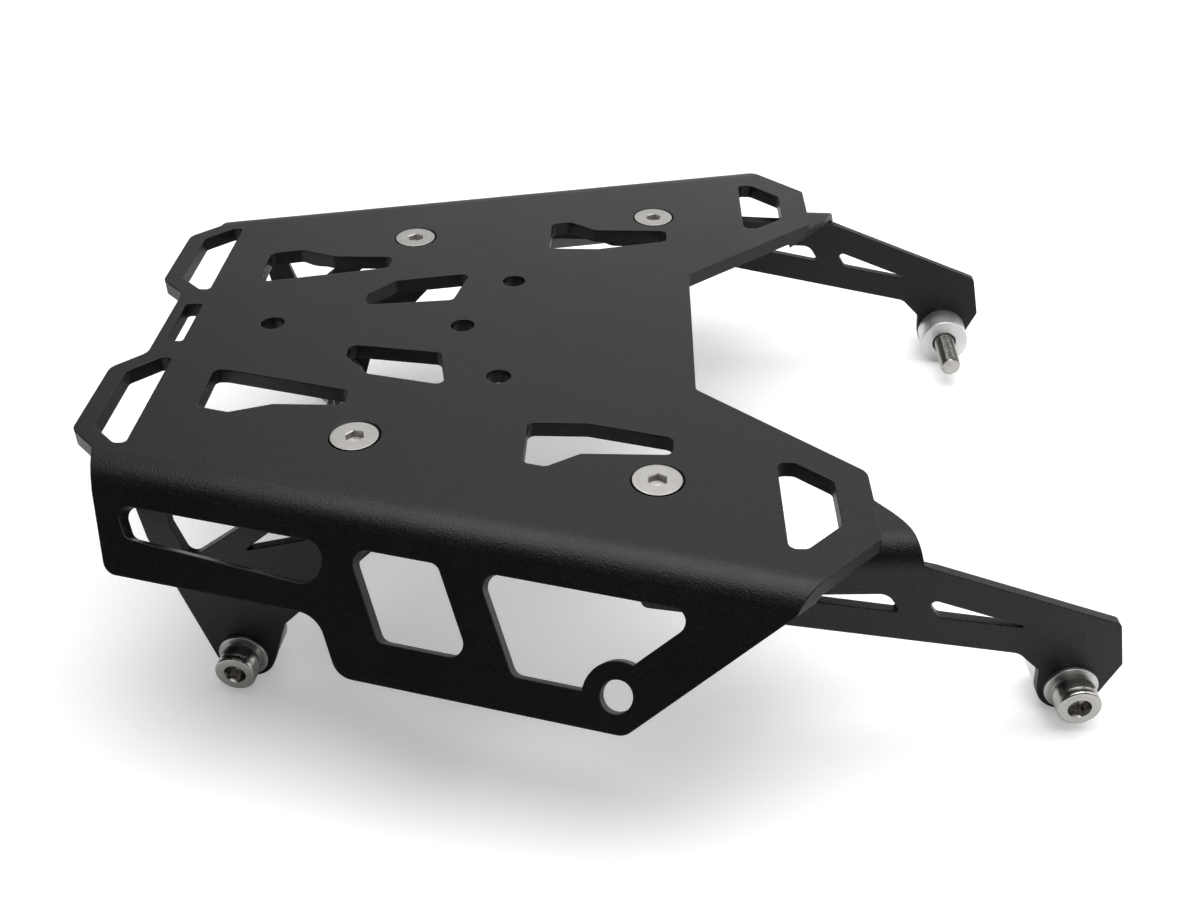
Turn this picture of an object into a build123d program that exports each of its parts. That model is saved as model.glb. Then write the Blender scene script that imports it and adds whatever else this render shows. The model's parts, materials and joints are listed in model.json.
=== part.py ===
"""Motorcycle luggage rack: a folded deck carried by two folded brackets.

Millimetres. +X points to the front of the motorcycle, +Y to its left side and +Z up.
The origin is the centre of the middle deck hole, on the deck's top face. The rack is
symmetric about the XZ plane, so outlines are drawn for the left side and mirrored.
"""
from build123d import *
from math import acos, atan, atan2, cos, degrees, hypot, radians, sin, tan
import os

# Sheets
deck_thickness = 5.0
bracket_thickness = 3.0

# Deck outline, x from rear to front and y from the centre line to the side
tail_x = -101.6
tail_half_width = 20.0
ear_x = -111.0
ear_inner_y = 29.5
ear_outer_y = 64.6
notch_x = 78.0
notch_half_width = 38.0
wing_x = 126.0
wing_inner_y = 80.6
wing_outer_y = 110.4
corner_radius = 5.0
small_corner_radius = 2.5

# Side fold: where it starts on the deck, its taper, slope and radius, and its slanted rear end
fold_half_width = 99.3
fold_taper = 0.25
flange_slope = 52.0
fold_radius = 12.0
fold_end_lean = 0.2

# Side flange, measured along the fold and down the slope
flange_rear_inset = 1.9
flange_rear_lean = 0.39
flange_depth_rear = 31.5
flange_depth_front = 47.1
flange_step = -23.7
flange_step_run = 8.9
flange_tip_inset = 42.05
flange_hole_inset = 3.9
flange_hole_rim = 9.9
flange_hole_diameter = 9.0
flange_lobe_radius = 9.5

# Flange windows, set by the rims and ribs that they leave
window_top = 11.4
window_lean = 0.57
window_radius = 3.5
rear_window_inset = 11.5
rear_window_end = -25.0
rear_window_rim = 11.0
rear_window_drop = 3.4
rear_window_end_radius = 6.0
rear_rib = 6.6
middle_window_width = 26.8
middle_window_rim = 11.6
front_rib = 11.4
front_window_rim = 9.8
front_window_reach = 16.0

# Knife-shaped slots, from the rear inner corner
rear_slot_x = -77.0
rear_slot_y = 30.0
rear_slot_length = 45.5
rear_slot_flat = 4.0
rear_slot_root = 21.3
rear_slot_hump_x = 10.6
rear_slot_hump = 24.3
rear_slot_waist_x = 23.5
rear_slot_tip = 8.3
front_slot_x = 26.2
front_slot_y = 57.8
front_slot_length = 44.0
front_slot_flat = 18.3
front_slot_root = 20.5
front_slot_hump_x = 6.8
front_slot_hump = 22.4
front_slot_waist_x = 16.8
front_slot_tip = 8.8
slot_slant = 0.27

# Middle slots, each a block with slanted sides and one corner cut off
middle_slot_x = -36.0
middle_slot_y = 13.4
middle_slot_length = 30.8
middle_slot_depth = 19.7
middle_slot_slant = 0.14
middle_slot_outer_slant = 0.24
middle_slot_lean = 3.9
middle_slot_cut_x = 8.7
middle_slot_cut_y = 7.4

# Grab slots, tail slot and the five-sided wing holes
grab_slot_rim = 6.1
grab_slot_width = 12.3
grab_slot_chamfer = 8.6
grab_slot_inner_inset = 2.3
grab_slot_outer_inset = 1.8
tail_slot_x = -95.1
tail_slot_length = 25.2
tail_slot_width = 5.8
wing_hole_x = 100.2
wing_hole_length = 15.6
wing_hole_inner_y = 76.6
wing_hole_outer_y = 115.7
wing_hole_chamfer = 10.4
wing_hole_inner_chamfer = 8.9

# Round accessory holes
deck_hole_diameter = 8.0
front_hole_x = 15.0
front_hole_y = 31.9
rear_hole_x = -64.9

# Countersunk screws that hold the deck to the brackets
plate_screw_rear_x = -25.2
plate_screw_rear_inset = 27.0
plate_screw_front_x = 65.4
plate_screw_front_inset = 29.95
plate_screw_diameter = 8.0
plate_screw_head = 16.0
plate_screw_socket = 5.0
plate_screw_socket_depth = 3.2
plate_screw_tail = 3.6
countersink_clearance = 0.15
screw_clearance = 0.4
thread_clearance = 0.05
washer_diameter = 16.0
washer_thickness = 1.6
nut_flats = 13.0
nut_height = 6.8

# Bracket flange under the deck
bracket_bend_radius = 6.0
bracket_tail_x = -86.0
bracket_front_x = 137.5
bracket_edge = 9.5
bracket_pad_rear = 37.0
bracket_pad_front = 16.0
bracket_slot_clearance = 1.8
bracket_front_chamfer = 23.4
strap_clearance = 2.7

# Rear leg, a web that follows the side at a small taper
leg_fold_gap = 0.6
leg_taper = 0.0875
leg_overhang = 4.0
leg_end = -9.0
leg_end_slant = 1.5
leg_bottom_edge = -17.0
leg_shoulder_x = 1.8
leg_shoulder_z = 16.0
leg_knee_x = 5.0
leg_knee_z = 13.7
leg_bolt_x = -65.1
leg_bolt_z = -72.3
leg_end_radius = 9.8

# Truss windows of the leg, measured from its rear edge and down from their level top
leg_rim = 3.5
leg_rear_rim = 10.0
leg_rear_window_side = 7.0
leg_rear_window_foot_x = 13.8
leg_rear_window_foot_z = 19.6
leg_rear_window_length = 29.2
leg_front_window_tip_x = 31.3
leg_front_window_tip_z = 14.8
leg_front_window_start = 48.2
leg_front_rim = 13.0
leg_front_window_side = 3.5
leg_front_window_radius = 1.4

# Front arm, a web that runs to the front mounting bolt
arm_fold_gap = 7.4
arm_taper = -0.045
arm_start = 56.0
arm_start_slant = 6.0
arm_bottom_edge = -25.7
arm_shoulder = 2.0
arm_shoulder_drop = 1.0
arm_slope = 20.7
arm_underside_slope = 10.3
arm_heel = 7.8
arm_neck_x = 0.7
arm_neck_z = 6.3
arm_tip_x = 4.1
arm_tip_z = 8.4
arm_nose = 0.3
arm_bolt_x = 189.5
arm_bolt_z = -59.0
arm_end_radius = 9.8

# Truss windows of the arm: a rim along each edge, and one slanted rib between them
arm_upper_rim = 10.8
arm_lower_rim = 10.0
arm_rib = 10.8
arm_rib_inset = 9.0
arm_rib_lean = 0.75
arm_window_radius = 1.0
web_tip_radius = 0.4

# Mounting bolts, their washers and spacers
mount_bolt_diameter = 8.0
mount_bolt_thread = 7.6
mount_bolt_length = 35.0
mount_bolt_head = 13.0
mount_bolt_head_height = 8.0
mount_bolt_socket = 6.0
mount_bolt_socket_depth = 4.2
mount_bolt_point = 0.8
edge_chamfer = 0.6
spacer_diameter = 19.1
spacer_length = 11.2
spacer_clearance = 0.6
spacer_chamfer = 0.8


def directions(taper):
    """Unit vectors along and across a line that runs outward by this taper."""
    angle = degrees(atan(taper))
    return Vector(1, 0, 0).rotate(Axis.Z, angle), Vector(0, 1, 0).rotate(Axis.Z, angle)


def draw_outline(corners):
    """Draw a closed outline from corners given as (x, y, radius), no rounder than its sides allow."""
    points = [Vector(x, y) for x, y, _ in corners]
    most_of_side = 0.48
    radii = []
    for index, (_, _, radius) in enumerate(corners):
        back = points[index - 1] - points[index]
        ahead = points[(index + 1) % len(points)] - points[index]
        reach = 1 / max(tan(radians(back.get_angle(ahead) / 2)), 0.001)
        radii.append(min(radius, most_of_side * min(back.length, ahead.length) / reach))
    FilletPolyline(*points, radius=radii, close=True)


def tangent_point(centre, radius, corner, turn):
    """Point where a line from the corner touches the circle, to its left or right by turn."""
    away_x = corner[0] - centre[0]
    away_y = corner[1] - centre[1]
    bearing = atan2(away_y, away_x) + turn * acos(radius / hypot(away_x, away_y))
    return centre[0] + radius * cos(bearing), centre[1] + radius * sin(bearing), 0.0


def web_plane(half_width, taper, distance=0.0, inward=True):
    """Plane on the outer face of a left web, at a distance along it."""
    along, outward = directions(taper)
    origin = Vector(0, half_width, 0) + along * distance
    return Plane(origin=origin, x_dir=along, z_dir=-outward if inward else outward)


def bend_point(half_width, taper, distance):
    """Where a web's bend leaves the bracket's flange, at a distance along the web."""
    along, across = directions(taper)
    point = Vector(0, half_width, 0) + along * distance - across * bracket_bend_radius
    return point.X, point.Y, 0.0


def knife_slot(x, y, length, flat, root, hump_x, hump, waist_x, tip):
    """Corners of a slot whose inner edge is flat and then slants outward to the tip."""
    tip_y = y + (length - flat) * slot_slant
    return [
        (x, y, small_corner_radius),
        (x + flat, y, small_corner_radius),
        (x + length, tip_y, small_corner_radius),
        (x + length, tip_y + tip, small_corner_radius),
        (x + waist_x, tip_y + tip, small_corner_radius),
        (x + hump_x, y + hump, small_corner_radius),
        (x, y + root, small_corner_radius),
    ]


# Directions of the side fold, and sizes larger than the sheet
along_fold, across_fold = directions(fold_taper)
fold_setback = fold_radius * tan(radians(flange_slope / 2))
sheet_reach = 2 * fold_half_width
far_out = 4 * fold_half_width

# The side fold continues the deck edge down to the flange, and both ends are cut square to the sheet
fold_rear_x = (fold_half_width - ear_outer_y + ear_x) / (1 - fold_taper)
fold_rear_y = fold_half_width + fold_taper * fold_rear_x
fold_foot_x = fold_rear_x + fold_end_lean * flange_depth_front
wing_diagonal = wing_x + wing_outer_y
outside_y = wing_outer_y + flange_depth_front
deck_corners = [
    (tail_x, 0.0, 0.0),
    (tail_x, tail_half_width, corner_radius),
    (ear_x, ear_inner_y, corner_radius),
    (ear_x, ear_outer_y, corner_radius),
    (fold_rear_x, fold_rear_y, 0.0),
    (fold_foot_x, fold_rear_y + flange_depth_front, 0.0),
    (fold_foot_x, outside_y, 0.0),
    (wing_diagonal - outside_y, outside_y, 0.0),
    (wing_x, wing_outer_y, small_corner_radius),
    (wing_x, wing_inner_y, corner_radius),
    (notch_x, notch_half_width, small_corner_radius),
    (notch_x, 0.0, 0.0),
]

# Flange corners in the plane of its outer face: along the fold, then down the slope
fold_corner_reach = fold_half_width + fold_setback * (across_fold.X + across_fold.Y)
fold_front = (wing_diagonal - fold_corner_reach) / (along_fold.X + along_fold.Y)
flange_rear = fold_rear_x / along_fold.X + flange_rear_inset
flange_tip = fold_front - flange_tip_inset
flange_corners = [
    (flange_rear - flange_rear_lean * fold_radius, -fold_radius, 0.0),
    (flange_rear + flange_rear_lean * flange_depth_rear, flange_depth_rear, corner_radius),
    (flange_step, flange_depth_rear, 2 * corner_radius),
    (flange_step + flange_step_run, flange_depth_front, 1.5 * corner_radius),
    (flange_tip, flange_depth_front, corner_radius),
    (flange_tip + flange_depth_front + fold_radius, -fold_radius, 0.0),
]
rear_window_start = flange_rear + rear_window_inset
rear_window_bottom = flange_depth_rear - rear_window_rim
rear_window_lean = window_lean * (rear_window_bottom - window_top)
middle_window_start = rear_window_end + rear_rib
middle_window_end = middle_window_start + middle_window_width
middle_window_bottom = flange_depth_front - middle_window_rim
middle_window_lean = window_lean * (middle_window_bottom - window_top)
front_window_start = middle_window_end + front_rib
front_window_end = flange_tip + front_window_reach
front_window_bottom = flange_depth_front - front_window_rim
front_window_lean = window_lean * (front_window_bottom - window_top)
window_outlines = [
    [
        (rear_window_start, window_top, window_radius),
        (rear_window_start + rear_window_lean, rear_window_bottom, window_radius),
        (rear_window_end, rear_window_bottom + rear_window_drop, rear_window_end_radius),
        (rear_window_end, window_top, rear_window_end_radius),
    ],
    [
        (middle_window_start, window_top, window_radius),
        (middle_window_start + middle_window_lean, middle_window_bottom, window_radius),
        (middle_window_end + middle_window_lean, middle_window_bottom, window_radius),
        (middle_window_end, window_top, window_radius),
    ],
    [
        (front_window_start, window_top, window_radius),
        (front_window_start + front_window_lean, front_window_bottom, window_radius),
        (front_window_end + window_top - front_window_bottom, front_window_bottom, 0.0),
        (front_window_end, window_top, window_radius),
    ],
]

# Deck slots of the left side
rear_slot = knife_slot(
    rear_slot_x, rear_slot_y, rear_slot_length, rear_slot_flat, rear_slot_root,
    rear_slot_hump_x, rear_slot_hump, rear_slot_waist_x, rear_slot_tip,
)
front_slot = knife_slot(
    front_slot_x, front_slot_y, front_slot_length, front_slot_flat, front_slot_root,
    front_slot_hump_x, front_slot_hump, front_slot_waist_x, front_slot_tip,
)
middle_slot_front = middle_slot_x + middle_slot_length
middle_slot_outer_y = middle_slot_y + middle_slot_depth + middle_slot_slant * middle_slot_length
middle_slot_outer_run = middle_slot_length + middle_slot_lean - middle_slot_cut_x
middle_slot = [
    (middle_slot_x, middle_slot_y, small_corner_radius),
    (middle_slot_front, middle_slot_y + middle_slot_slant * middle_slot_length, small_corner_radius),
    (middle_slot_front + middle_slot_lean, middle_slot_outer_y, small_corner_radius),
    (
        middle_slot_x + middle_slot_cut_x,
        middle_slot_outer_y - middle_slot_outer_slant * middle_slot_outer_run,
        small_corner_radius,
    ),
    (middle_slot_x, middle_slot_y + middle_slot_cut_y, small_corner_radius),
]
grab_slot_x = ear_x + grab_slot_rim
grab_slot_front = grab_slot_x + grab_slot_width
grab_slot_inner_y = ear_inner_y + grab_slot_inner_inset
grab_slot_outer_y = ear_outer_y - grab_slot_outer_inset
grab_slot = [
    (grab_slot_x, grab_slot_inner_y, small_corner_radius),
    (grab_slot_x + grab_slot_chamfer, grab_slot_inner_y - grab_slot_chamfer, small_corner_radius),
    (grab_slot_front, grab_slot_inner_y - grab_slot_chamfer, small_corner_radius),
    (grab_slot_front, grab_slot_outer_y + grab_slot_chamfer, small_corner_radius),
    (grab_slot_x + grab_slot_chamfer, grab_slot_outer_y + grab_slot_chamfer, small_corner_radius),
    (grab_slot_x, grab_slot_outer_y, small_corner_radius),
]
wing_hole_front = wing_hole_x + wing_hole_length
wing_hole = [
    (wing_hole_x, wing_hole_inner_y, small_corner_radius),
    (wing_hole_front - wing_hole_chamfer, wing_hole_inner_y, small_corner_radius),
    (wing_hole_front, wing_hole_inner_y + wing_hole_inner_chamfer, small_corner_radius),
    (wing_hole_front, wing_hole_outer_y - wing_hole_chamfer, small_corner_radius),
    (wing_hole_front - wing_hole_chamfer, wing_hole_outer_y, small_corner_radius),
    (wing_hole_x, wing_hole_outer_y, small_corner_radius),
]

fold_start = Vector(0, fold_half_width, 0)
fold_section = Plane(origin=fold_start - along_fold * far_out / 2, x_dir=across_fold, z_dir=along_fold)
flange_normal = across_fold * sin(radians(flange_slope)) + Vector(0, 0, cos(radians(flange_slope)))
flange_plane = Plane(origin=fold_start + across_fold * fold_setback, x_dir=along_fold, z_dir=flange_normal)
waste_top = deck_thickness * sin(radians(flange_slope)) - fold_setback * cos(radians(flange_slope))
plate_screw_rear = (
    plate_screw_rear_x,
    fold_half_width + fold_taper * plate_screw_rear_x - plate_screw_rear_inset,
)
plate_screw_front = (
    plate_screw_front_x,
    fold_half_width + fold_taper * plate_screw_front_x - plate_screw_front_inset,
)
plate_screws = [plate_screw_rear, plate_screw_front]

with BuildPart() as rack_plate:
    # One bent section runs the whole length of the fold, wider than the finished sheet
    with BuildSketch(fold_section):
        with BuildLine():
            top = Line((-sheet_reach, 0), (0, 0))
            outer_bend = CenterArc((0, -fold_radius), fold_radius, 90, -flange_slope)
            outer_face = PolarLine(outer_bend @ 1, flange_depth_front, -flange_slope)
            foot = PolarLine(outer_face @ 1, deck_thickness, -flange_slope - 90)
            inner_face = PolarLine(foot @ 1, flange_depth_front, 180 - flange_slope)
            inner_bend = CenterArc(
                (0, -fold_radius), fold_radius - deck_thickness, 90 - flange_slope, flange_slope
            )
            underside = Line((0, -deck_thickness), (-sheet_reach, -deck_thickness))
            Line(underside @ 1, top @ 0)
        make_face()
    extrude(amount=far_out)

    # The deck outline cuts straight down through deck and fold
    with BuildSketch(Plane.XY.offset(-far_out / 4)):
        with BuildLine():
            draw_outline(deck_corners)
        make_face()
    extrude(amount=far_out / 2, mode=Mode.INTERSECT)

    # The flange outline cuts square to the flange, below the fold
    with BuildSketch(flange_plane.offset(1)) as flange_waste:
        with Locations((0, waste_top)):
            Rectangle(far_out, far_out / 4, align=(Align.CENTER, Align.MIN))
        with BuildLine():
            draw_outline(flange_corners)
        make_face(mode=Mode.SUBTRACT)
    extrude(amount=-2 * deck_thickness, mode=Mode.SUBTRACT)

    # Windows, and the round hole in its lobe at the tip of the flange
    with BuildSketch(flange_plane.offset(1)):
        for corners in window_outlines:
            with BuildLine():
                draw_outline(corners)
            make_face()
        with Locations((flange_tip - flange_hole_inset, flange_depth_front - flange_hole_rim)):
            Circle(flange_lobe_radius, mode=Mode.SUBTRACT)
            Circle(flange_hole_diameter / 2)
    extrude(amount=-2 * deck_thickness, mode=Mode.SUBTRACT)

    # Slots of one side of the deck
    with BuildSketch(Plane.XY):
        for corners in (rear_slot, front_slot, middle_slot, grab_slot, wing_hole):
            with BuildLine():
                draw_outline(corners)
            make_face()
        with Locations((front_hole_x, front_hole_y)):
            Circle(deck_hole_diameter / 2)
    extrude(amount=-deck_thickness, mode=Mode.SUBTRACT)

    # Countersunk screw holes
    with Locations(*plate_screws):
        CounterSinkHole(
            radius=plate_screw_diameter / 2 + screw_clearance,
            counter_sink_radius=plate_screw_head / 2 + countersink_clearance,
            depth=deck_thickness,
            counter_sink_angle=90,
        )
    mirror(about=Plane.XZ)

    # Holes on the centre line
    with BuildSketch(Plane.XY):
        with Locations((0, 0), (rear_hole_x, 0)):
            Circle(deck_hole_diameter / 2)
        with Locations((tail_slot_x, 0)):
            RectangleRounded(tail_slot_width, tail_slot_length, small_corner_radius / 2)
    extrude(amount=-deck_thickness, mode=Mode.SUBTRACT)

# Bracket flange under the deck, seen from above, with its outer edges on the two bends
bracket_top = -deck_thickness
bracket_bottom = bracket_top - bracket_thickness
bracket_slot_y = front_slot_y + front_slot_hump + bracket_slot_clearance
bracket_rear_inner_y = plate_screw_rear[1] - bracket_edge
bracket_front_inner_y = plate_screw_front[1] - bracket_edge
leg_line = fold_half_width + (fold_taper - leg_taper) * bracket_tail_x - leg_fold_gap
arm_line = fold_half_width + (fold_taper - arm_taper) * arm_start - arm_fold_gap
leg_half_width = leg_line + bracket_bend_radius * hypot(1, leg_taper)
arm_half_width = arm_line + bracket_bend_radius * hypot(1, arm_taper)
leg_bend_tail = bend_point(leg_half_width, leg_taper, bracket_tail_x)
strap_opening_start = wing_hole_x - strap_clearance
strap_opening_end = wing_hole_front + strap_clearance
bracket_flange = [
    leg_bend_tail,
    (leg_bend_tail[0], leg_bend_tail[1] - corner_radius, small_corner_radius),
    (plate_screw_rear[0] - bracket_pad_rear, bracket_rear_inner_y, 2 * corner_radius),
    (plate_screw_rear[0] + bracket_pad_front, bracket_rear_inner_y, 2 * corner_radius),
    (front_slot_x - 2 * small_corner_radius, bracket_slot_y, corner_radius),
    (front_slot_x + front_slot_waist_x, bracket_slot_y, corner_radius),
    (plate_screw_front[0] - bracket_pad_front, bracket_front_inner_y, corner_radius),
    (strap_opening_end, bracket_front_inner_y, 0.0),
    (bracket_front_x, bracket_front_inner_y + bracket_front_chamfer, small_corner_radius),
    bend_point(arm_half_width, arm_taper, bracket_front_x),
    bend_point(arm_half_width, arm_taper, arm_start),
    bend_point(leg_half_width, leg_taper, leg_end),
]
strap_opening = [
    (strap_opening_start, bracket_front_inner_y - corner_radius, 0.0),
    (strap_opening_start, arm_half_width + bracket_thickness, 0.0),
    (strap_opening_end, arm_half_width + bracket_thickness, 0.0),
    (strap_opening_end, bracket_front_inner_y - corner_radius, 0.0),
]

# Leg outline and windows: along the web and up
web_top = bracket_top - bracket_bend_radius
leg_bolt = (leg_bolt_x, leg_bolt_z)
leg_start = bracket_tail_x - leg_overhang
leg_shoulder_corner = (leg_start + leg_shoulder_x, web_top - leg_shoulder_z, 2 * corner_radius)
leg_knee_corner = (
    leg_bolt_x + leg_end_radius + leg_knee_x,
    leg_bolt_z + leg_knee_z,
    small_corner_radius,
)
leg_web = [
    (leg_start, web_top, 0.0),
    leg_shoulder_corner,
    tangent_point(leg_bolt, leg_end_radius, leg_shoulder_corner, 1),
    tangent_point(leg_bolt, leg_end_radius, leg_knee_corner, -1),
    leg_knee_corner,
    (leg_end - leg_end_slant, leg_bottom_edge, corner_radius),
    (leg_end, web_top, 0.0),
]
leg_window_top = web_top - leg_rim
leg_windows = [
    [
        (leg_start + leg_rear_rim, leg_window_top, small_corner_radius),
        (leg_start + leg_rear_rim, leg_window_top - leg_rear_window_side, small_corner_radius),
        (
            leg_start + leg_rear_window_foot_x,
            leg_window_top - leg_rear_window_foot_z,
            small_corner_radius,
        ),
        (leg_start + leg_rear_rim + leg_rear_window_length, leg_window_top, small_corner_radius),
    ],
    [
        (leg_start + leg_front_window_tip_x, leg_window_top - leg_front_window_tip_z, web_tip_radius),
        (leg_start + leg_front_window_start, leg_window_top, small_corner_radius),
        (leg_end - leg_front_rim, leg_window_top, leg_front_window_radius),
        (leg_end - leg_front_rim, leg_window_top - leg_front_window_side, leg_front_window_radius),
    ],
]

# Arm outline and windows, between an upper and a lower edge that run to the bolt
arm_shoulder_x = bracket_front_x + arm_shoulder
arm_drop = tan(radians(arm_slope))
arm_rise = tan(radians(arm_underside_slope))


def arm_upper_edge(x):
    """Height of the arm's upper edge, in front of the shoulder."""
    return web_top - arm_shoulder_drop - arm_drop * (x - arm_shoulder_x)


def arm_lower_edge(x):
    """Height of the arm's lower edge."""
    return arm_bottom_edge - arm_rise * (x - arm_start - arm_start_slant)


arm_bolt = (arm_bolt_x, arm_bolt_z)
arm_heel_x = arm_bolt_x - arm_end_radius - arm_heel
arm_nose_x = arm_bolt_x + arm_end_radius + arm_nose
arm_neck_corner = (arm_bolt_x - arm_end_radius - arm_neck_x, arm_bolt_z + arm_neck_z, corner_radius / 2)
arm_tip_corner = (arm_bolt_x + arm_end_radius + arm_tip_x, arm_bolt_z + arm_tip_z, corner_radius / 3)
arm_web = [
    (arm_start, web_top, 0.0),
    (arm_start + arm_start_slant, arm_bottom_edge, corner_radius / 2),
    (arm_heel_x, arm_lower_edge(arm_heel_x), corner_radius),
    arm_neck_corner,
    tangent_point(arm_bolt, arm_end_radius, arm_neck_corner, 1),
    tangent_point(arm_bolt, arm_end_radius, arm_tip_corner, -1),
    arm_tip_corner,
    (arm_nose_x, arm_upper_edge(arm_nose_x), corner_radius / 2),
    (arm_shoulder_x, arm_upper_edge(arm_shoulder_x), 0.0),
    (arm_shoulder_x, web_top, 0.0),
]


def upper_corner(x, radius):
    """Corner of an arm window at x, one rim under the arm's upper edge."""
    return x, arm_upper_edge(x) - arm_upper_rim, radius


def lower_corner(x, radius):
    """Corner of an arm window at x, one rim over the arm's lower edge."""
    return x, arm_lower_edge(x) + arm_lower_rim, radius


# Each window narrows to a tip where its two rims meet
arm_window_top = web_top - arm_upper_rim
arm_rib_top_x = arm_shoulder_x - arm_rib_inset
arm_rib_height = arm_window_top - arm_lower_edge(arm_rib_top_x) - arm_lower_rim
arm_rib_foot_x = arm_rib_top_x + arm_rib_lean * arm_rib_height
arm_rear_tip_height = arm_window_top - arm_bottom_edge - arm_lower_rim
arm_rear_tip_x = arm_start + arm_start_slant - arm_rear_tip_height / arm_rise
arm_front_window_height = arm_upper_edge(arm_shoulder_x) - arm_lower_edge(arm_shoulder_x)
arm_front_window_height -= arm_upper_rim + arm_lower_rim
arm_front_tip_x = arm_shoulder_x + arm_front_window_height / (arm_drop - arm_rise)
arm_windows = [
    [
        (arm_rear_tip_x, arm_window_top, web_tip_radius),
        (arm_rib_top_x, arm_window_top, corner_radius),
        lower_corner(arm_rib_foot_x, arm_window_radius),
    ],
    [
        upper_corner(arm_rib_top_x + arm_rib, small_corner_radius),
        lower_corner(arm_rib_foot_x + arm_rib, small_corner_radius),
        lower_corner(arm_front_tip_x, web_tip_radius),
    ],
]


with BuildPart() as bracket_left:
    with BuildSketch(Plane.XY.offset(bracket_bottom)):
        with BuildLine():
            draw_outline(bracket_flange)
        make_face()
    extrude(amount=bracket_thickness)

    # Rear leg with its truss windows, then the front arm with its two
    webs = [
        (leg_half_width, leg_taper, leg_web, leg_windows, leg_bolt, leg_end_radius),
        (arm_half_width, arm_taper, arm_web, arm_windows, arm_bolt, arm_end_radius),
    ]
    for half_width, taper, web, windows, bolt, end_radius in webs:
        with BuildSketch(web_plane(half_width, taper)):
            with BuildLine():
                draw_outline(web)
            make_face()
            with Locations(bolt):
                Circle(end_radius)
                Circle(mount_bolt_diameter / 2 + screw_clearance, mode=Mode.SUBTRACT)
            for window in windows:
                with BuildLine():
                    draw_outline(window)
                make_face(mode=Mode.SUBTRACT)
        extrude(amount=bracket_thickness)
        along, across = directions(taper)
        bend_start, bend_end = web[0][0], web[-1][0]
        bend_origin = Vector(0, half_width, 0) + along * bend_start
        with BuildSketch(Plane(origin=bend_origin, x_dir=across, z_dir=along)):
            with BuildLine():
                outer = CenterArc((-bracket_bend_radius, web_top), bracket_bend_radius, 0, 90)
                inner = CenterArc(
                    (-bracket_bend_radius, web_top), bracket_bend_radius - bracket_thickness, 0, 90
                )
                Line(outer @ 0, inner @ 0)
                Line(outer @ 1, inner @ 1)
            make_face()
        extrude(amount=bend_end - bend_start)

    # Opening that lets a strap through the wing hole pass the bracket
    with BuildSketch(Plane.XY.offset(bracket_top)):
        with BuildLine():
            draw_outline(strap_opening)
        make_face()
    extrude(amount=-bracket_bend_radius, mode=Mode.SUBTRACT)

    with BuildSketch(Plane.XY.offset(bracket_top)):
        with Locations(*plate_screws):
            Circle(plate_screw_diameter / 2 + screw_clearance)
    extrude(amount=-bracket_thickness, mode=Mode.SUBTRACT)

with BuildPart() as bracket_right:
    mirror(bracket_left.part, about=Plane.XZ)

# Hardware profiles, each along its own axis with the seat at zero
screw_radius = plate_screw_diameter / 2
screw_head_depth = (plate_screw_head - plate_screw_diameter) / 2
nut_seat = bracket_bottom - washer_thickness
plate_screw_end = nut_seat - nut_height - plate_screw_tail
bolt_radius = mount_bolt_diameter / 2
bolt_seat = washer_thickness
bolt_shank = washer_thickness + bracket_thickness + spacer_length


def save(part, name):
    """Label a finished piece and write it as its own file."""
    part.label = name
    export_step(part, f"parts/{name}.step")


os.makedirs("parts", exist_ok=True)
save(rack_plate.part, "rack_plate")
save(bracket_left.part, "bracket_left")
save(bracket_right.part, "bracket_right")

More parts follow.
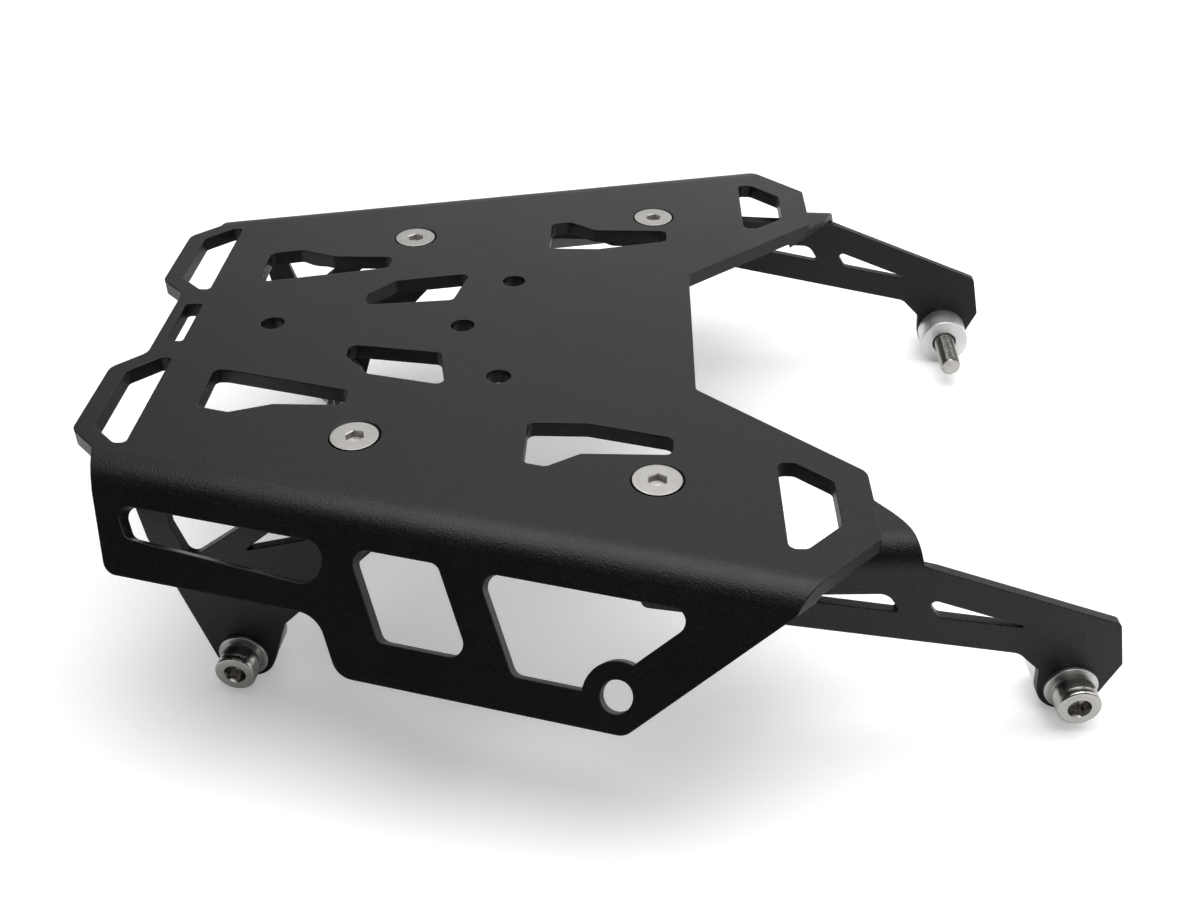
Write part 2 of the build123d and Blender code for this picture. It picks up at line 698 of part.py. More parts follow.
for side, sign in (("right", -1), ("left", 1)):
    for end, (screw_x, screw_y) in (("rear", plate_screw_rear), ("front", plate_screw_front)):
        # Countersunk screw from the deck's top face, turned about its axis
        screw_top = Plane(origin=(screw_x, sign * screw_y, 0))
        with BuildPart() as plate_screw:
            with BuildSketch(Plane(origin=screw_top.origin, x_dir=(1, 0, 0), z_dir=(0, -1, 0))):
                with BuildLine():
                    Polyline(
                        (0, 0),
                        (plate_screw_head / 2, 0),
                        (screw_radius, -screw_head_depth),
                        (screw_radius, plate_screw_end + edge_chamfer),
                        (screw_radius - edge_chamfer, plate_screw_end),
                        (0, plate_screw_end),
                        close=True,
                    )
                make_face()
            revolve(axis=Axis(screw_top.origin, (0, 0, 1)))
            with BuildSketch(screw_top):
                RegularPolygon(plate_screw_socket / 2, 6, major_radius=False)
            extrude(amount=-plate_screw_socket_depth, mode=Mode.SUBTRACT)
        save(plate_screw.part, f"plate_screw_{end}_{side}")

        # Washer against the bracket, then the nut
        with BuildPart() as plate_washer:
            with BuildSketch(screw_top.offset(nut_seat)):
                Circle(washer_diameter / 2)
                Circle(screw_radius + screw_clearance, mode=Mode.SUBTRACT)
            extrude(amount=washer_thickness)
        save(plate_washer.part, f"plate_washer_{end}_{side}")

        with BuildPart() as plate_nut:
            with BuildSketch(screw_top.offset(nut_seat)):
                RegularPolygon(nut_flats / 2, 6, major_radius=False)
                Circle(screw_radius + thread_clearance, mode=Mode.SUBTRACT)
            extrude(amount=-nut_height)
        save(plate_nut.part, f"plate_nut_{end}_{side}")

    mounts = (
        ("rear", leg_half_width, leg_taper, leg_bolt),
        ("front", arm_half_width, arm_taper, arm_bolt),
    )
    for end, half_width, taper, (along_web, height) in mounts:
        # Bolt axis square to the web, with the web's outer face at zero and outward positive
        left_face = web_plane(half_width, taper, along_web, inward=False)
        face = Plane(
            origin=(left_face.origin.X, sign * left_face.origin.Y, height),
            x_dir=(0, 0, 1),
            z_dir=(left_face.z_dir.X, sign * left_face.z_dir.Y, 0),
        )
        with BuildPart() as mount_bolt:
            with BuildSketch(face.offset(bolt_seat)):
                Circle(mount_bolt_head / 2)
            extrude(amount=mount_bolt_head_height)
            chamfer(mount_bolt.faces().sort_by(Axis(face.origin, face.z_dir))[-1].edges(), edge_chamfer)
            with BuildSketch(face.offset(bolt_seat)):
                Circle(bolt_radius)
            extrude(amount=-bolt_shank)
            with BuildSketch(face.offset(bolt_seat - bolt_shank)):
                Circle(mount_bolt_thread / 2)
            extrude(amount=bolt_shank - mount_bolt_length)
            chamfer(mount_bolt.faces().sort_by(Axis(face.origin, face.z_dir))[0].edges(), mount_bolt_point)
            with BuildSketch(face.offset(bolt_seat + mount_bolt_head_height)):
                RegularPolygon(mount_bolt_socket / 2, 6, major_radius=False)
            extrude(amount=-mount_bolt_socket_depth, mode=Mode.SUBTRACT)
        save(mount_bolt.part, f"mount_bolt_{end}_{side}")

        with BuildPart() as mount_washer:
            with BuildSketch(face):
                Circle(washer_diameter / 2)
                Circle(bolt_radius + screw_clearance, mode=Mode.SUBTRACT)
            extrude(amount=washer_thickness)
        save(mount_washer.part, f"mount_washer_{end}_{side}")

        with BuildPart() as mount_spacer:
            with BuildSketch(face.offset(-bracket_thickness)):
                Circle(spacer_diameter / 2)
                Circle(bolt_radius + spacer_clearance, mode=Mode.SUBTRACT)
            extrude(amount=-spacer_length)
            spacer_rims = mount_spacer.edges().filter_by(GeomType.CIRCLE).group_by(SortBy.RADIUS)[-1]
            chamfer(spacer_rims, spacer_chamfer)
        save(mount_spacer.part, f"mount_spacer_{end}_{side}")
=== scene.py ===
"""Photographic look of a motorcycle luggage rack.

Black powder-coated plate and brackets, stainless screws and bolts, and turned
aluminium spacers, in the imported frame's own metres. The plate keeps its CAD mesh,
the brackets are folded anew from theirs with a rounder front bend, and the turned
hardware is rebuilt with rounded edges, hexagon sockets and wound threads.
"""

import json
import logging
import math
from collections.abc import Callable, Iterable, Sequence
from dataclasses import dataclass, field
from enum import Enum

import bmesh
import bpy
from mathutils import Matrix, Vector

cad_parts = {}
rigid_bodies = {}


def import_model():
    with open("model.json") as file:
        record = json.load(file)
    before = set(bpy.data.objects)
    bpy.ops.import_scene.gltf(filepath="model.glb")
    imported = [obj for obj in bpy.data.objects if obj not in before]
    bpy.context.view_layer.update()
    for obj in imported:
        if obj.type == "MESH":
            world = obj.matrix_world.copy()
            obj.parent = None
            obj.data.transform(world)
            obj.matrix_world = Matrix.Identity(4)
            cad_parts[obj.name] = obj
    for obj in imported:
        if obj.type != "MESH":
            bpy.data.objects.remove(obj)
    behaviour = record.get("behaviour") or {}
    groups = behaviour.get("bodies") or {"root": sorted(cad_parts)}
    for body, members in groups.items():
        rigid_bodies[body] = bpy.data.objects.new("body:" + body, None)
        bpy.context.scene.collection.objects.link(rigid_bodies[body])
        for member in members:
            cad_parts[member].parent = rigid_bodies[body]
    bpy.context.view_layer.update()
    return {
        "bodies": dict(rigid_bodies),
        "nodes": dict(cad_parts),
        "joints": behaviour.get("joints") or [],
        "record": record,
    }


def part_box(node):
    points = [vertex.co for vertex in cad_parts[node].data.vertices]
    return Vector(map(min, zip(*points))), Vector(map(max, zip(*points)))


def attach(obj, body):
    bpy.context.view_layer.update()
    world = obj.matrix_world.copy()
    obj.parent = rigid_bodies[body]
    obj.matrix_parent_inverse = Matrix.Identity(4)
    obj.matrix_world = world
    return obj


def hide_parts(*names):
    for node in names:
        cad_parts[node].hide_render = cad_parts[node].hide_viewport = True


log = logging.getLogger("rack")

MM = 0.001
Pair = tuple[float, float]
Triple = tuple[float, float, float]
Profile = Callable[[float], Pair]


class End(Enum):
    """The end of the rack that a fastener is at."""

    REAR = "rear"
    FRONT = "front"


class Side(Enum):
    """The side of the motorcycle, with its sign along Y."""

    RIGHT = "right"
    LEFT = "left"

    @property
    def sign(self) -> int:
        """Minus one on the right, plus one on the left."""
        return 1 if self is Side.LEFT else -1


# Shader graphs


class Graph:
    """Adds nodes to one node tree and links them."""

    spacing = 180

    def __init__(self, tree: bpy.types.NodeTree) -> None:
        """Wrap a tree.

        Args:
            tree: the shader tree that the nodes go into.
        """
        self.tree = tree
        self.column = 0

    def node(self, kind: str, **settings: object) -> bpy.types.Node:
        """Add one node.

        Args:
            kind: the node's Blender type name.
            **settings: attributes set on the node.

        Returns:
            The new node.
        """
        made = self.tree.nodes.new(kind)
        made.location = (self.column, 0)
        self.column += self.spacing
        for name, value in settings.items():
            setattr(made, name, value)
        return made

    def feed(self, socket: bpy.types.NodeSocket, value: object) -> None:
        """Link a socket to another, or set its value.

        Args:
            socket: the input to fill.
            value: an output socket, or a plain value.
        """
        if isinstance(value, bpy.types.NodeSocket):
            self.tree.links.new(value, socket)
        elif isinstance(value, tuple) and len(value) == 3 and socket.type == "RGBA":
            socket.default_value = (*value, 1.0)
        else:
            socket.default_value = value

    def math(self, operation: str, *values: object, clamp: bool = False) -> bpy.types.NodeSocket:
        """Add a math node.

        Args:
            operation: the node's operation.
            *values: its inputs, sockets or numbers.
            clamp: whether the result is kept between 0 and 1.

        Returns:
            The result's socket.
        """
        made = self.node("ShaderNodeMath", operation=operation, use_clamp=clamp)
        for socket, value in zip(made.inputs, values):
            self.feed(socket, value)
        return made.outputs[0]

    def vector(self, operation: str, *values: object) -> bpy.types.Node:
        """Add a vector math node.

        Args:
            operation: the node's operation.
            *values: its inputs, sockets or triples.

        Returns:
            The node, whose result is a vector or a value.
        """
        made = self.node("ShaderNodeVectorMath", operation=operation)
        for socket, value in zip(made.inputs, values):
            self.feed(socket, value)
        return made

    def noise(self, place: object, scale: object, detail: float, rough: float = 0.5) -> bpy.types.NodeSocket:
        """Add a noise texture.

        Args:
            place: the vector that it is sampled at.
            scale: features per metre.
            detail: octaves.
            rough: weight of the finer octaves.

        Returns:
            The noise value's socket.
        """
        made = self.node("ShaderNodeTexNoise")
        self.feed(made.inputs["Vector"], place)
        self.feed(made.inputs["Scale"], scale)
        made.inputs["Detail"].default_value = detail
        made.inputs["Roughness"].default_value = rough
        return made.outputs["Fac"]

    def span(
        self, value: object, low: float, high: float, out_low: float = 0.0, out_high: float = 1.0
    ) -> bpy.types.NodeSocket:
        """Map a range of values smoothly onto another.

        Args:
            value: the socket to map.
            low: start of the range.
            high: end of the range.
            out_low: result at the start.
            out_high: result at the end.

        Returns:
            The mapped value's socket.
        """
        made = self.node("ShaderNodeMapRange", interpolation_type="SMOOTHSTEP")
        for socket, entry in zip(made.inputs, (value, low, high, out_low, out_high)):
            self.feed(socket, entry)
        return made.outputs[0]

    def weigh(self, first: object, share: object, second: object, other: object) -> bpy.types.NodeSocket:
        """Add two values, each times its own share.

        Args:
            first: one value.
            share: what it is multiplied by.
            second: the other value.
            other: what that one is multiplied by.

        Returns:
            The sum's socket.
        """
        return self.math("ADD", self.math("MULTIPLY", first, share), self.math("MULTIPLY", second, other))

    def bump(self, height: object, depth: float, normal: object = None) -> bpy.types.NodeSocket:
        """Add a bump node at full strength.

        Args:
            height: the height's socket.
            depth: how deep a height of one is, in metres.
            normal: the normal that it starts from, if not the mesh's own.

        Returns:
            The bumped normal's socket.
        """
        made = self.node("ShaderNodeBump")
        made.inputs["Strength"].default_value = 1.0
        made.inputs["Distance"].default_value = depth
        self.feed(made.inputs["Height"], height)
        if normal is not None:
            self.feed(made.inputs["Normal"], normal)
        return made.outputs["Normal"]

    def blend(self, factor: object, first: object, second: object) -> bpy.types.NodeSocket:
        """Mix two colours.

        Args:
            factor: weight of the second colour.
            first: colour at 0.
            second: colour at 1.

        Returns:
            The mixed colour's socket.
        """
        made = self.node("ShaderNodeMix", data_type="RGBA")
        self.feed(made.inputs["Factor"], factor)
        self.feed(made.inputs["A"], first)
        self.feed(made.inputs["B"], second)
        return made.outputs["Result"]

    def use(self, effect: bpy.types.NodeTree, **inputs: object) -> bpy.types.Node:
        """Add a node group and fill its named inputs.

        Args:
            effect: the group's tree.
            **inputs: values by input name, with underscores for spaces.

        Returns:
            The group node.
        """
        made = self.node("ShaderNodeGroup")
        made.node_tree = effect
        for name, value in inputs.items():
            self.feed(made.inputs[name.replace("_", " ").title()], value)
        return made


@dataclass(frozen=True)
class Port:
    """One named input or output of an effect."""

    name: str
    kind: str = "NodeSocketFloat"
    default: float | None = None


class Effect:
    """A shader node group that several finishes use, made once and kept."""

    name = "Effect"
    takes: tuple[Port, ...] = ()
    gives: tuple[Port, ...] = ()
    _made: dict[str, bpy.types.NodeTree] = {}

    def tree(self) -> bpy.types.NodeTree:
        """Build the group at its first use.

        Returns:
            The group's node tree.
        """
        if self.name not in self._made:
            tree = bpy.data.node_groups.new(self.name, "ShaderNodeTree")
            for port in self.takes:
                socket = tree.interface.new_socket(port.name, in_out="INPUT", socket_type=port.kind)
                if port.default is not None:
                    socket.default_value = port.default
            for port in self.gives:
                tree.interface.new_socket(port.name, in_out="OUTPUT", socket_type=port.kind)
            graph = Graph(tree)
            entry = graph.node("NodeGroupInput")
            results = self.draw(graph, entry)
            leave = graph.node("NodeGroupOutput")
            for port, result in zip(self.gives, results):
                tree.links.new(result, leave.inputs[port.name])
            self._made[self.name] = tree
        return self._made[self.name]

    def draw(self, graph: Graph, entry: bpy.types.Node) -> Sequence[bpy.types.NodeSocket]:
        """Add the group's nodes.

        Args:
            graph: the group's graph.
            entry: its input node.

        Returns:
            One socket for each port that it gives.
        """
        raise NotImplementedError


class PowderGrain(Effect):
    """Fine leathery grain of a textured powder coat."""

    name = "Powder grain"
    takes = (Port("Place", "NodeSocketVector"), Port("Grain Scale", default=1500.0))
    gives = (Port("Height"), Port("Tone"))
    fine_ratio = 2.7
    fine_share = 0.3
    drift_scale = 14.0
    drift_share = 0.25
    speck_range = (0.50, 0.66)

    def draw(self, graph: Graph, entry: bpy.types.Node) -> Sequence[bpy.types.NodeSocket]:
        """Mix two sizes of grain, and a slow drift of tone.

        Args:
            graph: the group's graph.
            entry: its input node.

        Returns:
            The height and the tone.
        """
        place, scale = entry.outputs["Place"], entry.outputs["Grain Scale"]
        coarse = graph.noise(place, scale, detail=2.0, rough=0.55)
        fine = graph.noise(place, graph.math("MULTIPLY", scale, self.fine_ratio), detail=1.0)
        height = graph.weigh(coarse, 1.0 - self.fine_share, fine, self.fine_share)
        drift = graph.noise(place, self.drift_scale, detail=3.0, rough=0.55)
        specks = graph.span(coarse, *self.speck_range)
        tone = graph.weigh(drift, self.drift_share, specks, 1.0 - self.drift_share)
        return height, tone


class SoftEdge(Effect):
    """Rounded corners of cut sheet, with a mask of where they are."""

    name = "Soft edge"
    takes = (Port("Place", "NodeSocketVector"), Port("Radius", default=0.0004))
    gives = (Port("Normal", "NodeSocketVector"), Port("Mask"))
    samples = 8
    corner_range = (0.01, 0.16)
    patch_scale = 420.0
    patch_range = (0.35, 0.65)
    least_highlight = 0.55

    def draw(self, graph: Graph, entry: bpy.types.Node) -> Sequence[bpy.types.NodeSocket]:
        """Compare the rounded normal with the flat one.

        Args:
            graph: the group's graph.
            entry: its input node.

        Returns:
            The rounded normal, and a patchy mask of the corners, where the coats paint a highlight.
        """
        bevel = graph.node("ShaderNodeBevel", samples=self.samples)
        graph.feed(bevel.inputs["Radius"], entry.outputs["Radius"])
        geometry = graph.node("ShaderNodeNewGeometry")
        along = graph.vector("DOT_PRODUCT", bevel.outputs["Normal"], geometry.outputs["Normal"])
        turn = graph.math("SUBTRACT", 1.0, along.outputs["Value"])
        patches = graph.noise(entry.outputs["Place"], self.patch_scale, detail=2.0)
        uneven = graph.span(patches, *self.patch_range, self.least_highlight, 1.0)
        mask = graph.math("MULTIPLY", graph.span(turn, *self.corner_range), uneven)
        return bevel.outputs["Normal"], mask


class TurnedRings(Effect):
    """Fine tool rings round a turned piece's own Z axis."""

    name = "Turned rings"
    takes = (Port("Place", "NodeSocketVector"), Port("Pitch", default=0.00025))
    gives = (Port("Height"), Port("Tone"))
    wave_share = 0.25
    streak_scale = 0.9
    streaks_round = 0.35
    tone_range = (0.3, 0.7)

    def draw(self, graph: Graph, entry: bpy.types.Node) -> Sequence[bpy.types.NodeSocket]:
        """Wind rings by distance from the axis and along it.

        Args:
            graph: the group's graph.
            entry: its input node.

        Returns:
            The height and the tone.
        """
        split = graph.node("ShaderNodeSeparateXYZ")
        graph.feed(split.inputs[0], entry.outputs["Place"])
        x, y, z = split.outputs
        reach = graph.math("ADD", graph.math("SQRT", graph.weigh(x, x, y, y)), z)
        turns = graph.math("DIVIDE", reach, entry.outputs["Pitch"])
        wave = graph.math("SINE", graph.math("MULTIPLY", turns, 2.0 * math.pi))
        join = graph.node("ShaderNodeCombineXYZ")
        graph.feed(join.inputs[0], turns)
        graph.feed(join.inputs[1], graph.math("MULTIPLY", graph.math("ARCTAN2", y, x), self.streaks_round))
        streak = graph.noise(join.outputs[0], self.streak_scale, detail=3.0, rough=0.6)
        height = graph.math("ADD", graph.math("MULTIPLY", wave, self.wave_share), streak)
        return height, graph.span(streak, *self.tone_range)


class Smudges(Effect):
    """Slow, cloudy change of gloss from handling."""

    name = "Smudges"
    takes = (Port("Place", "NodeSocketVector"), Port("Cloud Scale", default=40.0))
    gives = (Port("Mask"),)
    warp_ratio = 2.5
    warp_least = 0.8
    warp_share = 0.4
    cloud_range = (0.35, 0.68)

    def draw(self, graph: Graph, entry: bpy.types.Node) -> Sequence[bpy.types.NodeSocket]:
        """Warp one noise by another.

        Args:
            graph: the group's graph.
            entry: its input node.

        Returns:
            The mask of the smudges.
        """
        place, scale = entry.outputs["Place"], entry.outputs["Cloud Scale"]
        warp = graph.noise(place, graph.math("MULTIPLY", scale, self.warp_ratio), detail=2.0)
        shift = graph.vector("SCALE", place)
        stretch = graph.math("ADD", self.warp_least, graph.math("MULTIPLY", warp, self.warp_share))
        graph.feed(shift.inputs["Scale"], stretch)
        clouds = graph.noise(shift.outputs["Vector"], scale, detail=4.0, rough=0.6)
        return (graph.span(clouds, *self.cloud_range),)


# Finishes


class Finish:
    """A named material that can be put on pieces."""

    name: str

    def shader(self) -> tuple[bpy.types.Material, Graph, bpy.types.Node, bpy.types.NodeSocket]:
        """Start a material.

        Returns:
            The material, its graph, its surface shader and its object coordinates.
        """
        material = bpy.data.materials.new(self.name)
        material.use_nodes = True
        material.node_tree.nodes.clear()
        graph = Graph(material.node_tree)
        surface = graph.node("ShaderNodeBsdfPrincipled")
        leave = graph.node("ShaderNodeOutputMaterial")
        material.node_tree.links.new(surface.outputs[0], leave.inputs["Surface"])
        place = graph.node("ShaderNodeTexCoord").outputs["Object"]
        return material, graph, surface, place

    def build(self) -> bpy.types.Material:
        """Make the material.

        Returns:
            The finished material.
        """
        raise NotImplementedError


@dataclass(frozen=True)
class PowderCoat(Finish):
    """Fine-textured black powder coat on folded sheet."""

    name: str
    colour: Triple
    pale: Triple
    # edge is the lighter colour of a painted highlight along the cut corners
    edge: Triple
    roughness: float
    grain_scale: float
    grain_depth: float
    edge_radius: float
    edge_highlight: float = 0.75
    smudge_scale: float = 26.0
    smudge_gloss: float = 0.07
    specular: float = 0.30

    def build(self) -> bpy.types.Material:
        """Make the coat: grain, softened corners, and a painted highlight along them.

        Returns:
            The finished material.
        """
        material, graph, surface, place = self.shader()
        grain = graph.use(PowderGrain().tree(), place=place, grain_scale=self.grain_scale)
        corner = graph.use(SoftEdge().tree(), place=place, radius=self.edge_radius)
        smudge = graph.use(Smudges().tree(), place=place, cloud_scale=self.smudge_scale)
        body = graph.blend(grain.outputs["Tone"], self.colour, self.pale)
        # The corners get the lighter edge colour, uneven in patches: a painted highlight along the cut edges
        rim_highlight = graph.math("MULTIPLY", corner.outputs["Mask"], self.edge_highlight)
        graph.feed(surface.inputs["Base Color"], graph.blend(rim_highlight, body, self.edge))
        uneven = graph.math("SUBTRACT", smudge.outputs["Mask"], 0.5)
        rough = graph.math("ADD", self.roughness, graph.math("MULTIPLY", uneven, self.smudge_gloss))
        graph.feed(surface.inputs["Roughness"], rough)
        bumped = graph.bump(grain.outputs["Height"], self.grain_depth, corner.outputs["Normal"])
        graph.feed(surface.inputs["Normal"], bumped)
        surface.inputs["Specular IOR Level"].default_value = self.specular
        return material


@dataclass(frozen=True)
class TurnedMetal(Finish):
    """Bare metal that was turned, with tool rings and faint smudges."""

    name: str
    colour: Triple
    dull: Triple
    roughness: float
    pitch: float
    groove: float
    ring_tone: float = 0.45
    smudge_tone: float = 0.40
    smudge_scale: float = 120.0
    smudge_gloss: float = 0.10

    def build(self) -> bpy.types.Material:
        """Make the metal: tool rings, with smudges that dull them.

        Returns:
            The finished material.
        """
        material, graph, surface, place = self.shader()
        rings = graph.use(TurnedRings().tree(), place=place, pitch=self.pitch)
        smudge = graph.use(Smudges().tree(), place=place, cloud_scale=self.smudge_scale)
        shade = graph.weigh(rings.outputs["Tone"], self.ring_tone, smudge.outputs["Mask"], self.smudge_tone)
        graph.feed(surface.inputs["Base Color"], graph.blend(shade, self.colour, self.dull))
        duller = graph.math("MULTIPLY", smudge.outputs["Mask"], self.smudge_gloss)
        rough = graph.math("ADD", self.roughness, duller)
        graph.feed(surface.inputs["Roughness"], rough)
        surface.inputs["Metallic"].default_value = 1.0
        graph.feed(surface.inputs["Normal"], graph.bump(rings.outputs["Height"], self.groove))
        return material


@dataclass(frozen=True)
class PaperFloor(Finish):
    """Matt white studio sweep, lifted where the camera sees it, and to white far away."""

    name: str
    colour: Triple
    shade: Triple
    lift: float
    fade: Pair = (0.45, 1.3)
    tooth_scale: float = 900.0
    tooth_range: Pair = (0.3, 0.7)
    roughness: Pair = (0.85, 0.95)
    cloud_scale: float = 2.0
    specular: float = 0.2

    def build(self) -> bpy.types.Material:
        """Make the paper, with a barely visible tooth.

        Returns:
            The finished material.
        """
        material, graph, surface, place = self.shader()
        tooth = graph.noise(place, self.tooth_scale, detail=2.0)
        cloud = graph.use(Smudges().tree(), place=place, cloud_scale=self.cloud_scale)
        graph.feed(surface.inputs["Base Color"], graph.blend(cloud.outputs["Mask"], self.colour, self.shade))
        graph.feed(surface.inputs["Roughness"], graph.span(tooth, *self.tooth_range, *self.roughness))
        surface.inputs["Specular IOR Level"].default_value = self.specular
        surface.inputs["Emission Color"].default_value = (1.0, 1.0, 1.0, 1.0)
        seen = graph.node("ShaderNodeLightPath").outputs["Is Camera Ray"]
        away = graph.vector("LENGTH", place).outputs["Value"]
        lift = graph.span(away, *self.fade, self.lift, 1.0)
        graph.feed(surface.inputs["Emission Strength"], graph.math("MULTIPLY", seen, lift))
        return material


# Meshes


def add_object(name: str, data: bpy.types.ID) -> bpy.types.Object:
    """Make an object and link it to the scene.

    Args:
        name: the object's name.
        data: its mesh, light or camera.

    Returns:
        The new object.
    """
    made = bpy.data.objects.new(name, data)
    bpy.context.scene.collection.objects.link(made)
    return made


def shade_smooth(mesh: bpy.types.Mesh, sharp_angle: float) -> None:
    """Shade a mesh smooth between its sharp edges.

    Args:
        mesh: the mesh to shade.
        sharp_angle: the angle, in degrees, past which an edge is sharp.
    """
    mesh.polygons.foreach_set("use_smooth", [True] * len(mesh.polygons))
    mesh.set_sharp_from_angle(angle=math.radians(sharp_angle))


def circle(radius: float, height: float) -> Profile:
    """A round ring of points about Z.

    Args:
        radius: in millimetres.
        height: in millimetres.

    Returns:
        The radius and height at an angle.
    """
    return lambda angle: (radius, height)


def hexagon(across: float, height: float, rim: float = math.inf, fall: float = 0.0) -> Profile:
    """A six-sided ring of points about Z.

    Args:
        across: width across the flats, in millimetres.
        height: in millimetres.
        rim: radius past which a chamfer starts.
        fall: drop of the chamfer for each millimetre past the rim.

    Returns:
        The radius and height at an angle.
    """

    def at(angle: float) -> Pair:
        """Radius and height at an angle.

        Args:
            angle: about Z, in radians.

        Returns:
            The radius and the height, in millimetres.
        """
        turn = (angle + math.pi / 6) % (math.pi / 3) - math.pi / 6
        reach = across / 2 / math.cos(turn)
        return reach, height + fall * max(0.0, reach - rim)

    return at


def rounded(corners: Iterable[Triple], steps: int = 4) -> list[Profile]:
    """Round a turned section's corners.

    Args:
        corners: radius, height and corner radius of each corner, in millimetres.
        steps: pieces in each corner's arc.

    Returns:
        One ring for each point of the rounded section.
    """
    points = list(corners)
    rings: list[Profile] = []
    for index, (radius, height, size) in enumerate(points):
        here = Vector((radius, height))
        if size <= 0 or index in (0, len(points) - 1):
            rings.append(circle(radius, height))
            continue
        back = Vector(points[index - 1][:2]) - here
        ahead = Vector(points[index + 1][:2]) - here
        start = here + back.normalized() * min(size, back.length / 2)
        stop = here + ahead.normalized() * min(size, ahead.length / 2)
        for step in range(steps + 1):
            part = step / steps
            spot = start * (1 - part) ** 2 + here * 2 * part * (1 - part) + stop * part**2
            rings.append(circle(spot.x, spot.y))
    return rings


@dataclass(frozen=True)
class Thread:
    """A metric outside thread as rings whose radius winds round the axis, in millimetres."""

    crest: float
    depth: float = 0.62
    pitch: float = 1.25
    steepness: float = 2.7
    root_flat: float = 0.12
    point_length: float = 0.75
    point_drop: float = 0.12
    rings_per_turn: int = 9

    def rings(self, start: float, stop: float) -> list[Profile]:
        """Wind the thread from one height to another.

        Args:
            start: height where the thread runs out into the shank.
            stop: height of the chamfered point.

        Returns:
            The rings in order.
        """
        count = max(2, round(abs(stop - start) / self.pitch * self.rings_per_turn))
        return [self.ring(start, stop, start + (stop - start) * n / count) for n in range(count + 1)]

    def ring(self, start: float, stop: float, height: float) -> Profile:
        """One ring of the thread.

        Args:
            start: height where the thread runs out.
            stop: height of the point.
            height: height of this ring.

        Returns:
            The ring.
        """
        root = self.crest - self.depth
        run_out = min(1.0, abs(height - start) / self.pitch)
        point = min(1.0, abs(stop - height) / self.point_length)
        flank = self.steepness / 2

        def at(angle: float) -> Pair:
            """Radius and height at an angle.

            Args:
                angle: about Z, in radians.

            Returns:
                The radius and the height, in millimetres.
            """
            phase = (height / self.pitch - angle / (2 * math.pi)) % 1.0
            ridge = min(1.0, max(0.0, flank - abs(self.steepness * phase - flank) - self.root_flat))
            full = root + self.depth * (1.0 - run_out * (1.0 - ridge))
            return min(full, root - self.point_drop + (self.depth + self.point_drop) * point), height

        return at


@dataclass(frozen=True)
class Lathe:
    """Builds a mesh in metres from rings of points about Z in millimetres."""

    segments: int = 96
    sharp_angle: float = 34.0

    def mesh(self, name: str, rings: Sequence[Profile], closed: bool = False) -> bpy.types.Object:
        """Join the rings into a solid's skin.

        Args:
            name: the piece's name.
            rings: the rings in order.
            closed: whether the last ring meets the first, as round a washer.

        Returns:
            The new object, in metres about its own Z axis.
        """
        verts: list[Triple] = []
        for ring in rings:
            for number in range(self.segments):
                angle = 2 * math.pi * number / self.segments
                radius, height = ring(angle)
                verts.append((radius * math.cos(angle) * MM, radius * math.sin(angle) * MM, height * MM))
        faces: list[tuple[int, ...]] = []
        pairs = len(rings) if closed else len(rings) - 1
        for row in range(pairs):
            low, high = row * self.segments, ((row + 1) % len(rings)) * self.segments
            for number in range(self.segments):
                after = (number + 1) % self.segments
                faces.append((low + number, high + number, high + after, low + after))
        if not closed:
            last = (len(rings) - 1) * self.segments
            for base, is_last in ((0, False), (last, True)):
                middle = len(verts)
                height = sum(verts[base + n][2] for n in range(self.segments)) / self.segments
                verts.append((0.0, 0.0, height))
                for number in range(self.segments):
                    edge = (base + number, base + (number + 1) % self.segments)
                    faces.append((middle, *(reversed(edge) if is_last else edge)))
        mesh = bpy.data.meshes.new(name)
        mesh.from_pydata(verts, [], faces)
        mesh.validate()
        shade_smooth(mesh, self.sharp_angle)
        mesh.update()
        return add_object(name, mesh)


# Sub-assemblies


@dataclass
class Hardware:
    """Turned pieces that stand for CAD nodes, with their sizes in millimetres."""

    finishes: dict[str, bpy.types.Material]
    lathe: Lathe = field(default_factory=Lathe)
    corners: tuple[tuple[End, Side], ...] = tuple((end, side) for end in End for side in Side)

    def seat(self, piece: bpy.types.Object, node: str, slot: str, place: Matrix) -> None:
        """Put a piece where its CAD node is.

        Args:
            piece: the finished mesh.
            node: the CAD node that it stands for.
            slot: the record's material slot.
            place: its place in the row frame.
        """
        piece.data.materials.append(self.finishes[slot])
        piece.matrix_world = place
        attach(piece, "root")
        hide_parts(node)
        log.info("%s: %d faces for %s", piece.name, len(piece.data.polygons), node)


